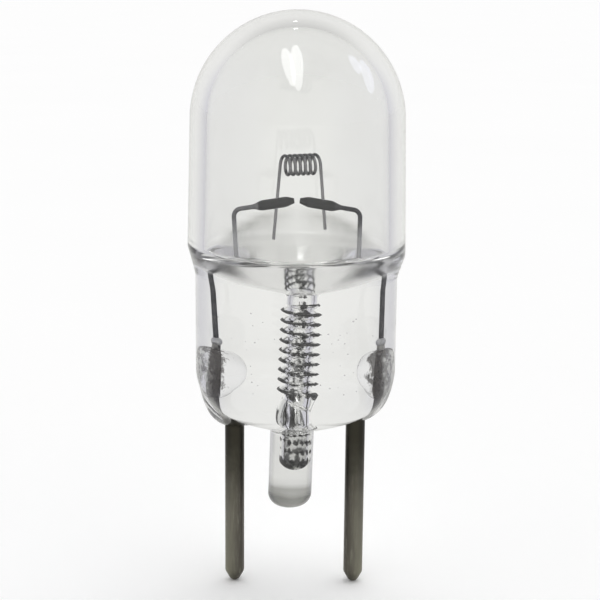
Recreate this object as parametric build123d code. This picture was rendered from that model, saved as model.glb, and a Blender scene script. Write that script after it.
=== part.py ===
"""Clear two-pin flashlight bulb: a blown glass envelope on a solid glass foot, a tipped-off exhaust
tube, two contact pins sealed in the foot, and a coiled filament held by two clamped lead wires.

Frame: millimetres, +Z up along the bulb, +X from the left pin to the right pin.
The origin lies midway between the pins, in the seat plane where the foot's underside meets them.
"""

import math
import os

from build123d import *

# Contact pins
PIN_SPACING = 3.175
PIN_DIAMETER = 0.508
PIN_REACH = 4.68
PIN_TIP_LENGTH = 0.28
PIN_TIP_FLAT_DIAMETER = 0.2
PIN_TIP_ROUNDING = 0.16
PIN_SHANK_FOOT_DIAMETER = 0.42
PIN_SHANK_TOP_DIAMETER = 0.17
PIN_SHANK_TOP_Z = 2.05
PIN_SHANK_LEAN_DEGREES = {"left": 3.8, "right": 0.4}

# Glass envelope, outside
DOME_RADIUS = 2.71
DOME_CENTRE_Z = 7.69
WALL_TAPER_DEGREES = 1.4
SHOULDER_TOP_Z = 4.4
SHOULDER_TOP_ROUNDING = 0.4
SHOULDER_FOOT_Z = 3.75
SHOULDER_FOOT_ROUNDING = 0.9
FOOT_DIAMETER = 5.18
FOOT_EDGE_ROUNDING = 1.3
UNDERSIDE_SLOPE_DEGREES = 21

# Glass beads where the pins leave the foot, the left one hanging lower
BEAD_RADIUS = 0.78
BEAD_CENTRE_Z = 0.525
BEAD_STAGGER = 0.1
BEAD_BLEND = 0.3

# Glass envelope, inside
GLASS_WALL = 0.42
FLOOR_MOUTH_Z = 3.52
FLOOR_SLOPE_DEGREES = 23
FLOOR_EDGE_ROUNDING = 0.22

# Exhaust tube, which leans to the left below the floor, with its bore off centre
TUBE_DIAMETER = 1.147
TUBE_TIP_DEPTH = 2.52
TUBE_TIP_ROUNDING = 0.34
TUBE_LEAN_DEGREES = 1.6
TUBE_OFFSET_X = 0.036
BORE_DIAMETER = 0.56
BORE_OFFSET_X = 0.075
BORE_END_DEPTH = 1.5
RIB_CREST_DIAMETER = 0.44
RIB_ROOT_DIAMETER = 0.73
RIB_PITCH = 0.2585
RIB_COUNT = 11
RIB_START_DEPTH = 0.36

# Lead wires and their clamps
LEAD_DIAMETER = 0.12
LEAD_SPREAD = 3.24
LEAD_BEND_Z = 5.4
LEAD_BEND_RADIUS = 0.2
LEAD_RUN_RISE_DEGREES = 9
WELD_BALL_DIAMETER = 0.24
CLAMP_LENGTH = 1.1
CLAMP_HEIGHT = 0.27
CLAMP_THICKNESS = 0.17
CLAMP_TIP_HEIGHT = 0.14
CLAMP_ROOT_TAPER = 0.3
CLAMP_TIP_TAPER = 0.26
CLAMP_GAP = 0.14

# Filament
FILAMENT_WIRE_DIAMETER = 0.082
FILAMENT_COIL_DIAMETER = 0.56
FILAMENT_COIL_LENGTH = 0.9
FILAMENT_TURNS = 6.5
FILAMENT_RISE = 1.16
FILAMENT_OFFSET_X = 0.078
FILAMENT_TAIL_DROP = {"left": 0.75, "right": 0.49}

SIDES = {"left": -1, "right": 1}

# Values that follow from the driving dimensions
pin_x = PIN_SPACING / 2
pin_radius = PIN_DIAMETER / 2
underside_slope = math.tan(math.radians(UNDERSIDE_SLOPE_DEGREES))
floor_slope = math.tan(math.radians(FLOOR_SLOPE_DEGREES))
wall_taper = math.radians(WALL_TAPER_DEGREES)
run_rise = math.tan(math.radians(LEAD_RUN_RISE_DEGREES))
lead_bend_x = LEAD_SPREAD / 2
coil_z = LEAD_BEND_Z + FILAMENT_RISE
tube_turn = (0, TUBE_LEAN_DEGREES, 0)
tube_frame = Plane(origin=(TUBE_OFFSET_X, 0, FLOOR_MOUTH_Z)).rotated(tube_turn)
bore_frame = Plane(origin=(TUBE_OFFSET_X + BORE_OFFSET_X, 0, FLOOR_MOUTH_Z)).rotated(tube_turn)


def revolved(outline, frame=Plane.YZ):
    """Spin a closed half outline, drawn as radius and height, about the frame's upright axis."""
    return revolve(frame * make_face(outline), axis=Axis(frame.origin, frame.y_dir))


def upright_frame(x, z=0.0, lean_degrees=0.0):
    """A drawing frame whose upright axis passes through x at height z and leans towards -X."""
    lean = math.radians(lean_degrees)
    return Plane(origin=(x, 0, z), x_dir=(math.cos(lean), 0, math.sin(lean)), z_dir=(0, -1, 0))


def domed_solid(apex_z, corners, radii, dome_radius):
    """A revolved glass form: a shallow cone below, a rounded flank, a tapered wall and a round dome."""
    tangent = (dome_radius * math.cos(wall_taper), DOME_CENTRE_Z + dome_radius * math.sin(wall_taper))
    crown = (0, DOME_CENTRE_Z + dome_radius)
    flank = FilletPolyline((0, apex_z), *corners, tangent, radius=radii)
    dome = RadiusArc(tangent, crown, -dome_radius)
    return revolved(flank + dome + Line(crown, (0, apex_z)))


def wall_radius(dome_radius, z):
    """Radius of the tapered wall that runs down from a dome, at height z."""
    tangent_z = DOME_CENTRE_Z + dome_radius * math.sin(wall_taper)
    return dome_radius * math.cos(wall_taper) + (tangent_z - z) * math.tan(wall_taper)


def bead_centre_z(side):
    """Height of the glass bead round one pin."""
    return BEAD_CENTRE_Z + SIDES[side] * BEAD_STAGGER


def pin_exit_z(side):
    """Height at which one pin leaves its glass bead."""
    return bead_centre_z(side) - math.sqrt(BEAD_RADIUS**2 - pin_radius**2)


def cavity():
    """The gas space of the bulb, down to the funnel-shaped floor."""
    inner_radius = DOME_RADIUS - GLASS_WALL
    apex_z = FLOOR_MOUTH_Z - floor_slope * BORE_DIAMETER / 2
    level_radius = wall_radius(inner_radius, FLOOR_MOUTH_Z)
    corner_z = apex_z + floor_slope * level_radius
    corner = (wall_radius(inner_radius, corner_z), corner_z)
    return domed_solid(apex_z, [corner], [FLOOR_EDGE_ROUNDING], inner_radius)


def envelope_outside():
    """The glass as a full solid: dome, wall, shoulder, foot and the two pin beads."""
    foot_radius = FOOT_DIAMETER / 2
    apex_z = -pin_x * underside_slope
    corners = [
        (foot_radius, apex_z + foot_radius * underside_slope),
        (foot_radius, SHOULDER_FOOT_Z),
        (wall_radius(DOME_RADIUS, SHOULDER_TOP_Z), SHOULDER_TOP_Z),
    ]
    radii = [FOOT_EDGE_ROUNDING, SHOULDER_FOOT_ROUNDING, SHOULDER_TOP_ROUNDING]
    body = domed_solid(apex_z, corners, radii, DOME_RADIUS)
    for side, sign in SIDES.items():
        body += Pos(sign * pin_x, 0, bead_centre_z(side)) * Sphere(BEAD_RADIUS)
    beads = body.faces().filter_by(GeomType.SPHERE).filter_by(lambda face: face.center().Z < FLOOR_MOUTH_Z)
    seams = beads.edges().filter_by(GeomType.BSPLINE)
    return fillet(seams, BEAD_BLEND)


def tube_outside():
    """The exhaust tube as a full rod, from its rounded tip to above the floor's mouth."""
    radius = TUBE_DIAMETER / 2
    tip = -(FLOOR_MOUTH_Z + TUBE_TIP_DEPTH)
    above_floor = TUBE_DIAMETER
    outline = FilletPolyline(
        (0, tip), (radius, tip), (radius, above_floor), radius=[TUBE_TIP_ROUNDING]
    )
    outline += Polyline((radius, above_floor), (0, above_floor), (0, tip))
    return tube_frame.location * revolved(outline)


def tube_bore():
    """The tube's bore: plain at the mouth, ringed by ribs in the foot, plain to a round closed end."""
    plain = BORE_DIAMETER / 2
    crest = RIB_CREST_DIAMETER / 2
    root = RIB_ROOT_DIAMETER / 2
    end = -(FLOOR_MOUTH_Z + BORE_END_DEPTH)
    above_floor = TUBE_DIAMETER
    ring_points = [(plain, above_floor), (plain, -RIB_START_DEPTH)]
    half_pitch = RIB_PITCH / 2
    rib_z = -RIB_START_DEPTH
    for radius in [root, crest] * RIB_COUNT + [plain]:
        rib_z -= half_pitch
        ring_points.append((radius, rib_z))
    ring_points.append((plain, end + plain))
    outline = Polyline(*ring_points) + RadiusArc((plain, end + plain), (0, end), plain)
    outline += Polyline((0, end), (0, above_floor), (plain, above_floor))
    return bore_frame.location * revolved(outline)


def shank_top_centre(side):
    """Where one pin's shank ends in the glass and its lead wire is welded on."""
    inset = math.tan(math.radians(PIN_SHANK_LEAN_DEGREES[side])) * (PIN_SHANK_TOP_Z - pin_exit_z(side))
    return Vector(SIDES[side] * (pin_x - inset), 0, PIN_SHANK_TOP_Z)


def contact_pin(side):
    """A round pin with a blunt tapered tip, and a slimmer shank that leans inwards in the glass."""
    tip_flat = PIN_TIP_FLAT_DIAMETER / 2
    shank_foot = PIN_SHANK_FOOT_DIAMETER / 2
    shank_top = PIN_SHANK_TOP_DIAMETER / 2
    exit_z = pin_exit_z(side)
    x = SIDES[side] * pin_x
    shank_frame = upright_frame(x, exit_z, SIDES[side] * PIN_SHANK_LEAN_DEGREES[side])
    shank_length = (shank_top_centre(side) - shank_frame.origin).length
    tip_corners = [(tip_flat, -PIN_REACH), (pin_radius, PIN_TIP_LENGTH - PIN_REACH)]
    outline = FilletPolyline(
        (0, -PIN_REACH), *tip_corners, (pin_radius, exit_z), radius=[PIN_TIP_ROUNDING] * len(tip_corners)
    )
    outline += Polyline((pin_radius, exit_z), (0, exit_z), (0, -PIN_REACH))
    shank = Polyline(
        (0, -shank_foot),
        (shank_foot, -shank_foot),
        (shank_foot, 0),
        (shank_top, shank_length),
        (0, shank_length),
        close=True,
    )
    return revolved(outline, upright_frame(x)) + revolved(shank, shank_frame)


def filament_frame():
    """Frame of the coil: its z axis runs along the coil and its y axis points up.

    The coil is turned in plan until both straight legs, which leave it on opposite sides, come down
    through the clamps' plane.
    """
    coil_radius = (FILAMENT_COIL_DIAMETER - FILAMENT_WIRE_DIAMETER) / 2
    pitch = FILAMENT_COIL_LENGTH / FILAMENT_TURNS
    splay = pitch / (2 * math.pi * coil_radius)
    drop = coil_z - clamp_z(FILAMENT_COIL_LENGTH / 2)
    skew = math.atan2(coil_radius, FILAMENT_COIL_LENGTH / 2 + splay * drop)
    along = Vector(math.cos(skew), math.sin(skew), 0)
    middle = Vector(FILAMENT_OFFSET_X, 0, coil_z)
    start = middle - along * (FILAMENT_COIL_LENGTH / 2)
    return Plane(origin=start, x_dir=Vector(0, 0, 1).cross(along), z_dir=along), coil_radius, pitch


def clamp_z(x):
    """Height of the clamps' centre line at distance x from the bulb's axis."""
    return LEAD_BEND_Z + run_rise * (lead_bend_x - x)


def leg_ends():
    """Where each straight leg leaves the coil, and the end of its tail."""
    frame, coil_radius, pitch = filament_frame()
    climb = Vector(0, coil_radius, pitch / (2 * math.pi))
    left_top = frame.from_local_coords(Vector(coil_radius, 0, 0))
    left_down = frame.from_local_coords(-climb) - frame.origin
    right_top = frame.from_local_coords(Vector(-coil_radius, 0, FILAMENT_COIL_LENGTH))
    right_down = frame.from_local_coords(Vector(0, -climb.Y, climb.Z)) - frame.origin
    legs = {}
    for side, top, down in (("left", left_top, left_down), ("right", right_top, right_down)):
        reach = (LEAD_BEND_Z - FILAMENT_TAIL_DROP[side] - top.Z) / down.Z
        legs[side] = (top, top + down * reach)
    return legs


def filament():
    """One wire: a straight leg, the coil, and the other leg."""
    frame, coil_radius, pitch = filament_frame()
    coil = frame.location * Helix(pitch, FILAMENT_COIL_LENGTH, coil_radius)
    legs = leg_ends()
    path = Wire([
        Edge.make_line(legs["left"][1], legs["left"][0]),
        coil.edge(),
        Edge.make_line(legs["right"][0], legs["right"][1]),
    ])
    section = Plane(origin=path @ 0, z_dir=path % 0) * Circle(FILAMENT_WIRE_DIAMETER / 2)
    return sweep(section, path, is_frenet=True)


def lead_wire(side):
    """A wire welded to its pin, bent over inside the bulb and flattened into a clamp on its leg."""
    sign = SIDES[side]
    weld = shank_top_centre(side)
    foot = weld - Vector(0, 0, LEAD_DIAMETER)
    bend = Vector(sign * lead_bend_x, 0, LEAD_BEND_Z)
    tip_x = CLAMP_GAP / 2
    run_length = math.cos(math.radians(LEAD_RUN_RISE_DEGREES))
    root_x = tip_x + CLAMP_LENGTH * run_length
    root = Vector(sign * root_x, 0, clamp_z(root_x))
    tip = Vector(sign * tip_x, 0, clamp_z(tip_x))
    path = FilletPolyline(foot, bend, root, radius=LEAD_BEND_RADIUS)
    section = Plane(origin=path @ 0, z_dir=path % 0) * Circle(LEAD_DIAMETER / 2)
    wire = sweep(section, path)
    wire += Pos(weld) * Sphere(WELD_BALL_DIAMETER / 2)
    wire -= contact_pin(side)
    along = (tip - root).normalized()
    stations = [
        (root, LEAD_DIAMETER, LEAD_DIAMETER),
        (root + along * CLAMP_ROOT_TAPER, CLAMP_THICKNESS, CLAMP_HEIGHT),
        (tip - along * CLAMP_TIP_TAPER, CLAMP_THICKNESS, CLAMP_HEIGHT),
        (tip, CLAMP_TIP_HEIGHT, CLAMP_TIP_HEIGHT),
    ]
    sections = [
        Plane(origin=place, x_dir=(0, 1, 0), z_dir=along) * Ellipse(thickness / 2, height / 2)
        for place, thickness, height in stations
    ]
    clamp = loft(sections)
    top, tail = leg_ends()[side]
    leg_plane = Plane(origin=tail, z_dir=top - tail)
    leg = leg_plane * Cylinder(
        FILAMENT_WIRE_DIAMETER / 2, (top - tail).length, align=(Align.CENTER, Align.CENTER, Align.MIN)
    )
    return wire + clamp - leg


def main():
    """Build every piece in place and write one file each."""
    os.makedirs("parts", exist_ok=True)
    gas_space = cavity()
    tube_rod = tube_outside()
    pieces = {"filament": filament()}
    for side in SIDES:
        pieces[f"contact_pin_{side}"] = contact_pin(side)
        pieces[f"lead_wire_{side}"] = lead_wire(side)
    glass = envelope_outside() - gas_space - tube_rod
    for name, piece in pieces.items():
        if name != "filament":
            glass -= piece
    pieces["glass_envelope"] = glass
    pieces["exhaust_tube"] = tube_rod - gas_space - tube_bore()
    for name, piece in pieces.items():
        export_step(piece, os.path.join("parts", name + ".step"))


main()
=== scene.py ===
"""Looks of a clear two-pin flashlight bulb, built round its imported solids.

Sizes are fields in millimetres, in the frame of the solids: +Z runs up the bulb, +X from the left pin
to the right pin, and the origin lies midway between the pins where the foot's underside meets them.
Meshes are written in metres.
"""

import logging
import math
from dataclasses import dataclass, replace
from enum import Enum
from typing import Any, Optional, Sequence, Union

import bpy
import numpy as np
from mathutils import Euler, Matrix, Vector


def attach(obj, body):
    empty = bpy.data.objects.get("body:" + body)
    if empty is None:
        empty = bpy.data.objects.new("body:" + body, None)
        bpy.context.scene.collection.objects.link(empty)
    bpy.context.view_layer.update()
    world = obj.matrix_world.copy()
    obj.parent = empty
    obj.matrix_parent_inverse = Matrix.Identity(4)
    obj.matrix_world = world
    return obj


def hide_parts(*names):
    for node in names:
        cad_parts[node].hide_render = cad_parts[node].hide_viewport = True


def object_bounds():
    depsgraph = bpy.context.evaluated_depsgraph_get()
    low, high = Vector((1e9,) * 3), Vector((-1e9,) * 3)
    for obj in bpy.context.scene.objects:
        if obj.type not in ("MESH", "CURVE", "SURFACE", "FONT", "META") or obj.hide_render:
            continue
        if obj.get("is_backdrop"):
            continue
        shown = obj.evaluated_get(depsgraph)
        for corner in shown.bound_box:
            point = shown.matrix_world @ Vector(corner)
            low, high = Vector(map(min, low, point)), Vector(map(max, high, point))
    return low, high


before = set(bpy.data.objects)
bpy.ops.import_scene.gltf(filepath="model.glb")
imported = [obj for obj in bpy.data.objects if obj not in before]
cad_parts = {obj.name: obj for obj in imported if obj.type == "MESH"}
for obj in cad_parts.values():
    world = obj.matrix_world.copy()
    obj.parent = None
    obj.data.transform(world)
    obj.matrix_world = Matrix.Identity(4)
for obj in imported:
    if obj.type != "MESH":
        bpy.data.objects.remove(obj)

LOG = logging.getLogger("bulb")
MM = 0.001
BODY = "root"
# Heat tarnish, and on the filament painted shade as well.
TARNISH_AND_SHADE = "tarnish"
TINY = 1e-12

Colour = tuple[float, float, float]
Point = tuple[float, float]
Span = tuple[float, float]
Triple = tuple[float, float, float]
# A left and a right value.
Pair = tuple[float, float]

WHITE: Colour = (1.0, 1.0, 1.0)
COOL: Colour = (0.74, 0.77, 1.0)
PIN_X = 1.5875
PIN_RADIUS = 0.254
GLASS_IOR = 1.48
# The middle of a noise, which runs from 0 to 1.
MID = 0.5
# How far a direction has to point sideways to take the tone of the sides.
BESIDE: Span = (0.45, 0.95)


class Slot(Enum):
    """The record's material slots."""

    GLASS = "clear_glass"
    FILAMENT = "filament_wire"
    LEAD = "lead_metal"
    PIN = "pin_metal"


class Side(Enum):
    """The two sides of the bulb, as signs of X."""

    LEFT = -1
    RIGHT = 1

    @property
    def word(self) -> str:
        """The side's name in piece names."""
        return self.name.lower()


class Mark(Enum):
    """What a mesh tells its finish about each point."""

    # Painted shade: dark marks laid in the bore's grooves, neck and tube, where there is only shade.
    SOOT = "soot"
    # Grey film with painted shadow: a low hill of shade up the far wall, and grey on the funnel floor, in
    # the bore and at the tube's tip.
    FILM = "film"


@dataclass(frozen=True)
class Grain:
    """A noise pattern: cells a millimetre, layers of detail and their strength, and a stretch of Z."""

    scale: float
    detail: float = 3.0
    rough: float = 0.55
    along: float = 1.0


class Value:
    """An output socket of a node tree. Its operators add Math nodes."""

    def __init__(self, tree: "Tree", socket: bpy.types.NodeSocket) -> None:
        """Keep the socket and the tree it belongs to."""
        self.tree = tree
        self.socket = socket

    def _math(self, operation: str, *operands: Any) -> "Value":
        """Add one Math node.

        Args:
            operation: Blender's name of the operation.
            operands: Numbers or values, in the node's order.

        Returns:
            The node's result.
        """
        return self.tree.add("ShaderNodeMath", {"operation": operation}, dict(enumerate(operands)))

    def __add__(self, other: Any) -> "Value":
        """Sum."""
        return self._math("ADD", self, other)

    __radd__ = __add__

    def __sub__(self, other: Any) -> "Value":
        """Difference."""
        return self._math("SUBTRACT", self, other)

    def __rsub__(self, other: Any) -> "Value":
        """Difference, with the number first."""
        return self._math("SUBTRACT", other, self)

    def __mul__(self, other: Any) -> "Value":
        """Product."""
        return self._math("MULTIPLY", self, other)

    __rmul__ = __mul__

    def __truediv__(self, other: Any) -> "Value":
        """Quotient."""
        return self._math("DIVIDE", self, other)

    def least(self, other: Any) -> "Value":
        """The smaller of two."""
        return self._math("MINIMUM", self, other)

    def most(self, other: Any) -> "Value":
        """The larger of two."""
        return self._math("MAXIMUM", self, other)

    def size(self) -> "Value":
        """The value without its sign."""
        return self._math("ABSOLUTE", self)

    def sine(self) -> "Value":
        """Sine of an angle in radians."""
        return self._math("SINE", self)

    def cosine(self) -> "Value":
        """Cosine of an angle in radians."""
        return self._math("COSINE", self)

    def share(self, low: float, high: float) -> "Value":
        """A smooth step from 0 at low to 1 at high, or back where low is the larger."""
        return self.tree.add(
            "ShaderNodeMapRange",
            {"interpolation_type": "SMOOTHSTEP", "clamp": True},
            {"Value": self, "From Min": low, "From Max": high, "To Min": 0.0, "To Max": 1.0},
        )


class Tree:
    """A node tree of a material, the world or a geometry modifier."""

    # Places of a Mix node's colours, whose names repeat for every type of data.
    MIX_LOW, MIX_HIGH, MIX_OUT = 6, 7, 2

    def __init__(self, tree: bpy.types.NodeTree) -> None:
        """Keep the tree, emptied."""
        self.tree = tree
        tree.nodes.clear()

    def add(
        self,
        kind: str,
        settings: Optional[dict[str, Any]] = None,
        sockets: Optional[dict[Union[str, int], Any]] = None,
        out: Union[str, int] = 0,
    ) -> Value:
        """Add a node.

        Args:
            kind: Blender's type of the node.
            settings: Its own settings, set first.
            sockets: Values or links of its inputs, by name or place.
            out: The output to hand back, by name or place.

        Returns:
            That output. A node that ends a tree has none.
        """
        node = self.tree.nodes.new(kind)
        for name, setting in (settings or {}).items():
            setattr(node, name, setting)
        for key, value in (sockets or {}).items():
            self.feed(node.inputs[key], value)
        return Value(self, node.outputs[out]) if node.outputs else None

    def feed(self, socket: bpy.types.NodeSocket, value: Any) -> None:
        """Link values to an input, or set a plain one.

        Args:
            socket: The input.
            value: A Value or a list of them to link, or what the socket holds. Three numbers on a colour
                get an alpha of 1.
        """
        if isinstance(value, list):
            for part in value:
                self.feed(socket, part)
        elif isinstance(value, Value):
            self.tree.links.new(value.socket, socket)
        elif socket.type == "RGBA" and len(value) == 3:
            socket.default_value = (*value, 1.0)
        else:
            socket.default_value = value

    def blend(self, share: Any, low: Any, high: Any, way: str = "MIX") -> Value:
        """Mix two colours: low at share 0, and at share 1 high, or low times high for MULTIPLY."""
        sockets = {0: share, self.MIX_LOW: low, self.MIX_HIGH: high}
        return self.add("ShaderNodeMix", {"data_type": "RGBA", "blend_type": way}, sockets, self.MIX_OUT)

    def ray(self, fact: str) -> Value:
        """A fact about the ray that is followed, by Blender's name."""
        return self.add("ShaderNodeLightPath", out=fact)

    def kinds_of_ray(self) -> tuple[Value, Value]:
        """Tell what looks at the floor or the world.

        Returns:
            1 for rays straight from the camera, and 1 for rays by way of metal or glass.
        """
        camera, glossy, through = map(self.ray, ("Is Camera Ray", "Is Glossy Ray", "Is Transmission Ray"))
        return camera, (glossy + through).least(1.0)

    def vector(
        self, operation: str, *operands: Any, scale: Optional[Any] = None, out: str = "Vector"
    ) -> Value:
        """Add one Vector Math node.

        Args:
            operation: Blender's name of the operation.
            operands: Vectors or values, in the node's order.
            scale: The factor of a SCALE node.
            out: The output to hand back, Vector or Value.

        Returns:
            That output.
        """
        sockets: dict[Union[str, int], Any] = dict(enumerate(operands))
        if scale is not None:
            sockets["Scale"] = scale
        return self.add("ShaderNodeVectorMath", {"operation": operation}, sockets, out=out)

    def xyz(self, x: Any, y: Any, z: Any) -> Value:
        """Join three values to a vector."""
        return self.add("ShaderNodeCombineXYZ", None, {"X": x, "Y": y, "Z": z})

    def part(self, vector: Value, axis: str) -> Value:
        """One component of a vector, by its letter."""
        return self.add("ShaderNodeSeparateXYZ", None, {"Vector": vector}, out=axis)


class SurfaceTree(Tree):
    """The node tree of a new material."""

    def __init__(self, name: str) -> None:
        """Start a material.

        Args:
            name: Its name.
        """
        self.material = bpy.data.materials.new(name)
        self.material.use_nodes = True
        super().__init__(self.material.node_tree)

    def place(self, along: float = 1.0) -> Value:
        """The point on the piece in millimetres, with its Z stretched for a streaked pattern."""
        spot = self.add("ShaderNodeTexCoord", out="Object")
        return self.vector("MULTIPLY", spot, (1 / MM, 1 / MM, along / MM))

    def noise(self, grain: Grain) -> Value:
        """A noise from 0 to 1."""
        sockets = {"Scale": grain.scale, "Detail": grain.detail, "Roughness": grain.rough}
        return self.add("ShaderNodeTexNoise", None, {"Vector": self.place(grain.along), **sockets})

    def mark(self, name: str) -> Value:
        """What the mesh says of the point, by the attribute's name."""
        return self.add("ShaderNodeAttribute", {"attribute_name": name}, out="Fac")

    def bump(self, height: Value, depth: float, strength: float) -> Value:
        """A bump of that depth in millimetres."""
        sockets = {"Height": height, "Distance": depth * MM, "Strength": strength}
        return self.add("ShaderNodeBump", None, sockets)

    def principled(self, sockets: dict[Union[str, int], Any]) -> Value:
        """A principled surface with those inputs."""
        return self.add("ShaderNodeBsdfPrincipled", None, sockets)

    def clear(self, tone: Colour) -> Value:
        """A surface that rays pass straight through."""
        return self.add("ShaderNodeBsdfTransparent", None, {"Color": tone})

    def layer(self, share: Value, under: Value, over: Value) -> Value:
        """Mix two surfaces: under at share 0, over at share 1."""
        return self.add("ShaderNodeMixShader", None, {0: share, 1: under, 2: over})

    def finish(self, surface: Value) -> bpy.types.Material:
        """Link the surface to the output and hand back the material."""
        self.add("ShaderNodeOutputMaterial", None, {"Surface": surface})
        return self.material


@dataclass(frozen=True)
class GlassFinish:
    """Clear drawn glass with slow ripples and handling marks, grey film with painted shadow, and painted
    shade in the bore, where its mesh says so.
    """

    name: str = "clear_drawn_glass"
    clean: Colour = (0.975, 0.977, 0.972)
    handled: Colour = (0.95, 0.95, 0.943)
    # Grey of the film and of the painted shadow on the far wall.
    grey_film_and_shade: Colour = (0.12, 0.12, 0.1)
    # Painted shade: the near-black colour laid over the bore's glass.
    soot: Colour = (0.02, 0.02, 0.019)
    ior: float = GLASS_IOR
    smear: Grain = Grain(0.9, 4.0)
    smear_edge: Span = (0.5, 0.78)
    smear_roughness: float = 0.012
    film_roughness: float = 0.4
    most_roughness: float = 0.24
    cloud: Grain = Grain(1.6, 3.0, 0.6)
    film_least: float = 0.3
    film_cloud: float = 0.4
    ripple: Grain = Grain(0.7, 1.0, along=0.45)
    ripple_depth: float = 0.02
    ripple_strength: float = 0.06
    lamp_share: float = 0.85
    trapped_depth: Span = (5.0, 8.0)
    patch: Grain = Grain(4.8, 3.0, 0.65, along=0.5)
    patch_sway: float = 1.7
    soot_edge: Span = (0.45, 0.66)
    soot_start: Span = (0.02, 0.2)
    soot_most: float = 0.92
    soot_roughness: float = 0.6
    soot_shine: float = 0.2

    def material(self) -> bpy.types.Material:
        """Build the material.

        Returns:
            Transmissive glass that lets most lamp light through to what stands behind it.
        """
        tree = SurfaceTree(self.name)
        smear = tree.noise(self.smear).share(*self.smear_edge)
        # Grey film and painted shadow, which grey the glass and roughen it.
        film = tree.mark(Mark.FILM.value)
        grey = film * (self.film_least + self.film_cloud * tree.noise(self.cloud))
        tone = tree.blend(smear, self.clean, self.handled)
        rough = smear * self.smear_roughness + film * self.film_roughness
        glass = tree.principled(
            {
                "Base Color": tree.blend(grey, tone, self.grey_film_and_shade),
                "Roughness": rough.least(self.most_roughness),
                "IOR": self.ior,
                "Transmission Weight": 1.0,
                "Normal": tree.bump(tree.noise(self.ripple), self.ripple_depth, self.ripple_strength),
            }
        )
        trapped = tree.ray("Ray Depth").share(*self.trapped_depth)
        passing = (tree.ray("Is Shadow Ray") * self.lamp_share).most(trapped)
        clear = tree.layer(passing, glass, tree.clear(self.clean))
        # Painted shade in the bore: a dark layer over the glass where the mesh marks it.
        mark = tree.mark(Mark.SOOT.value)
        patch = (tree.noise(self.patch) - MID) * self.patch_sway
        shade_share = (mark + patch).share(*self.soot_edge) * mark.share(*self.soot_start) * self.soot_most
        soot = tree.principled(
            {
                "Base Color": self.soot,
                "Roughness": self.soot_roughness,
                "Specular IOR Level": self.soot_shine,
            }
        )
        return tree.finish(tree.layer(shade_share, clear, soot))


@dataclass(frozen=True)
class SealFinish:
    """Glass of the seal beads, barely denser than the foot round it, with scale on its outer side."""

    name: str = "seal_glass"
    tone: Colour = (0.97, 0.97, 0.985)
    pale_scale: Colour = (0.8, 0.8, 0.77)
    dark_scale: Colour = (0.05, 0.043, 0.035)
    scale_roughness: float = 0.5
    scale_most: float = 0.85
    ior: float = 1.16
    wave: Grain = Grain(1.8, 2.0)
    wave_depth: float = 0.05
    wave_strength: float = 0.3
    shank_x: float = 1.42
    mottle: Grain = Grain(3.6, 4.0, 0.65, along=0.5)
    flake_outwards: float = 1.4
    flake_edge: Span = (-0.06, 0.06)
    hatch: Grain = Grain(6.5, 3.0, 0.6, along=0.6)
    hatch_edge: Span = (0.44, 0.54)
    hatch_start: Span = (0.15, 0.4)
    hatch_most: float = 0.85
    dark_reach: float = 0.4
    dark_inwards: float = 2.2
    dark_edge: Span = (-0.1, 0.12)

    def material(self) -> bpy.types.Material:
        """Build the material.

        Returns:
            Glass whose refraction is counted from the foot's, under flakes of pale and dark scale.
        """
        tree = SurfaceTree(self.name)
        glass = tree.principled(
            {
                "Base Color": self.tone,
                "Roughness": 0.0,
                "IOR": self.ior,
                "Transmission Weight": 1.0,
                "Normal": tree.bump(tree.noise(self.wave), self.wave_depth, self.wave_strength),
            }
        )
        clear = tree.layer(tree.ray("Is Shadow Ray"), glass, tree.clear(self.tone))
        outer = tree.part(tree.place(), "X").size() - self.shank_x
        mottle = tree.noise(self.mottle) - MID
        hatch = tree.noise(self.hatch).share(*self.hatch_edge)
        hatched = self.hatch_most * hatch * outer.share(*self.hatch_start)
        flake = (mottle + outer * self.flake_outwards).share(*self.flake_edge) * (1.0 - hatched)
        shade = ((self.dark_reach - outer) * self.dark_inwards + mottle).share(*self.dark_edge)
        scale = tree.principled(
            {
                "Base Color": tree.blend(shade, self.pale_scale, self.dark_scale),
                "Roughness": self.scale_roughness,
            }
        )
        return tree.finish(tree.layer(flake * self.scale_most, clear, scale))


@dataclass(frozen=True)
class BubbleFinish:
    """Gas in a bubble, seen from the glass round it."""

    name: str = "bubble_gas"
    tone: Colour = (0.98, 0.98, 0.98)
    ior: float = 1 / GLASS_IOR

    def material(self) -> bpy.types.Material:
        """Build the material.

        Returns:
            A clear filling whose refraction is counted from the glass.
        """
        tree = SurfaceTree(self.name)
        gas = tree.add(
            "ShaderNodeBsdfGlass", None, {"Color": self.tone, "Roughness": 0.0, "IOR": self.ior}
        )
        return tree.finish(gas)


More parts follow.
